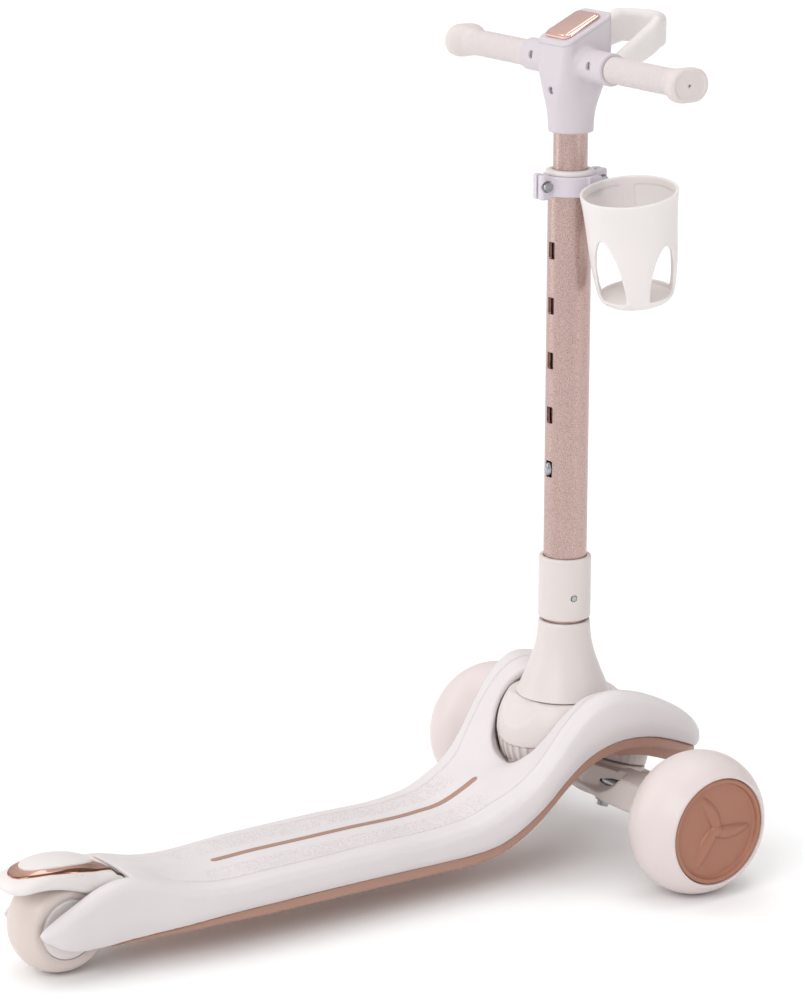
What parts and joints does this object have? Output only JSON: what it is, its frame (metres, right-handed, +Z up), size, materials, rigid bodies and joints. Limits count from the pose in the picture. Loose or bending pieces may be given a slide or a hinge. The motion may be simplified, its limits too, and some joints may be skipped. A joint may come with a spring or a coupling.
{
  "type": "kick scooter",
  "caption": "Child's folding lean-to-steer kick scooter with two front wheels, a wide rear wheel, stepped deck, foot brake, telescoping stem, T-bar, hand loop and side cup holder.",
  "frame": {"origin": "on the ground under the middle of the scooter's overall length and width", "axes": "+Z up, +Y forward along the deck towards the front wheels, +X to the rider's right"},
  "size_m": [0.3466, 0.641, 0.7105],
  "materials": {
    "white": "fine satin moulded plastic",
    "cream": "satin moulded plastic",
    "lavender": "satin moulded plastic",
    "tyre": "smooth cast polyurethane",
    "warm_tyre": "smooth cast polyurethane",
    "copper": "satin copper-brown moulded plastic",
    "rose": "rose-gold metallic paint on aluminium tube",
    "rose_chrome": "rose-gold plated plastic trim",
    "steel": "zinc-plated steel hardware"
  },
  "bodies": {
    "deck": {"deck_shell": "white", "under_tray": "copper", "deck_inlay": "copper", "steer_boss": "cream", "fold_pin": "steel", "kingpin_bolt": "steel", "kingpin_nut": "steel", "rear_axle": "steel", "rear_spacer_right": "steel", "rear_spacer_left": "steel", "fender_pin": "steel", "fender_spring": "steel"},
    "truck": {"truck_beam": "cream", "steer_bush": "cream", "front_axle": "steel", "axle_nut_right": "steel", "axle_nut_left": "steel"},
    "front_wheel_right": {"front_tyre_right": "tyre", "front_core_right": "cream", "hub_cap_right": "copper", "front_bearing_inner_right": "steel", "front_bearing_outer_right": "steel"},
    "front_wheel_left": {"front_tyre_left": "tyre", "front_core_left": "cream", "hub_cap_left": "copper", "front_bearing_inner_left": "steel", "front_bearing_outer_left": "steel"},
    "rear_wheel": {"rear_tyre": "warm_tyre", "rear_core": "cream", "rear_bearing_right": "steel", "rear_bearing_left": "steel"},
    "fender": {"fender_shell": "white", "fender_trim": "rose_chrome", "fender_pad": "white"},
    "stem": {"stem_ball": "cream", "stem_cone": "cream", "stem_collar": "white", "collar_screw": "steel", "outer_tube": "rose", "clamp_bush": "cream", "clamp_right": "lavender", "clamp_left": "lavender", "clamp_screw_rear": "steel", "clamp_screw_front": "steel", "cup_holder": "white"},
    "pedal": {"fold_pedal": "cream"},
    "upper": {"inner_tube": "rose", "t_head": "lavender", "head_plate": "rose_chrome", "ring_handle": "white", "crossbar": "steel", "grip_right": "white", "grip_left": "white", "head_screw": "steel", "arm_screw_right": "steel", "arm_screw_left": "steel"},
    "button": {"snap_button": "steel"}
  },
  "joints": [
    {"name": "steer", "type": "hinge", "parent": "deck", "child": "truck", "pos_m": [0, 0.2712, 0.07], "axis": [0, 0.2857, 0.9583], "range_deg": [-12, 12], "stiffness_Nm_per_rad": 40},
    {"name": "front_right_spin", "type": "hinge", "parent": "truck", "child": "front_wheel_right", "pos_m": [0.1433, 0.2468, 0.06], "axis": [1, 0, 0], "continuous": true},
    {"name": "front_left_spin", "type": "hinge", "parent": "truck", "child": "front_wheel_left", "pos_m": [-0.1433, 0.2468, 0.06], "axis": [1, 0, 0], "continuous": true},
    {"name": "rear_spin", "type": "hinge", "parent": "deck", "child": "rear_wheel", "pos_m": [0, -0.2705, 0.04], "axis": [1, 0, 0], "continuous": true},
    {"name": "brake", "type": "hinge", "parent": "deck", "child": "fender", "pos_m": [0, -0.228, 0.066], "axis": [1, 0, 0], "range_deg": [0, 3], "stiffness_Nm_per_rad": 1, "springref_deg": -22.92},
    {"name": "stem_fold", "type": "hinge", "parent": "deck", "child": "stem", "pos_m": [0, 0.2155, 0.108], "axis": [1, 0, 0], "range_deg": [0, 78]},
    {"name": "fold_pedal_press", "type": "slide", "parent": "stem", "child": "pedal", "axis": [0, 1, 0], "range_m": [0, 0.003], "stiffness_N_per_m": 2000, "springref_m": -0.001},
    {"name": "height_slide", "type": "slide", "parent": "stem", "child": "upper", "axis": [0, 0, 1], "range_m": [0, 0.183], "deforming": ["snap_button"]},
    {"name": "snap_button_press", "type": "slide", "parent": "upper", "child": "button", "axis": [0, 1, 0], "range_m": [0, 0.004], "stiffness_N_per_m": 1500, "springref_m": -0.001}
  ]
}
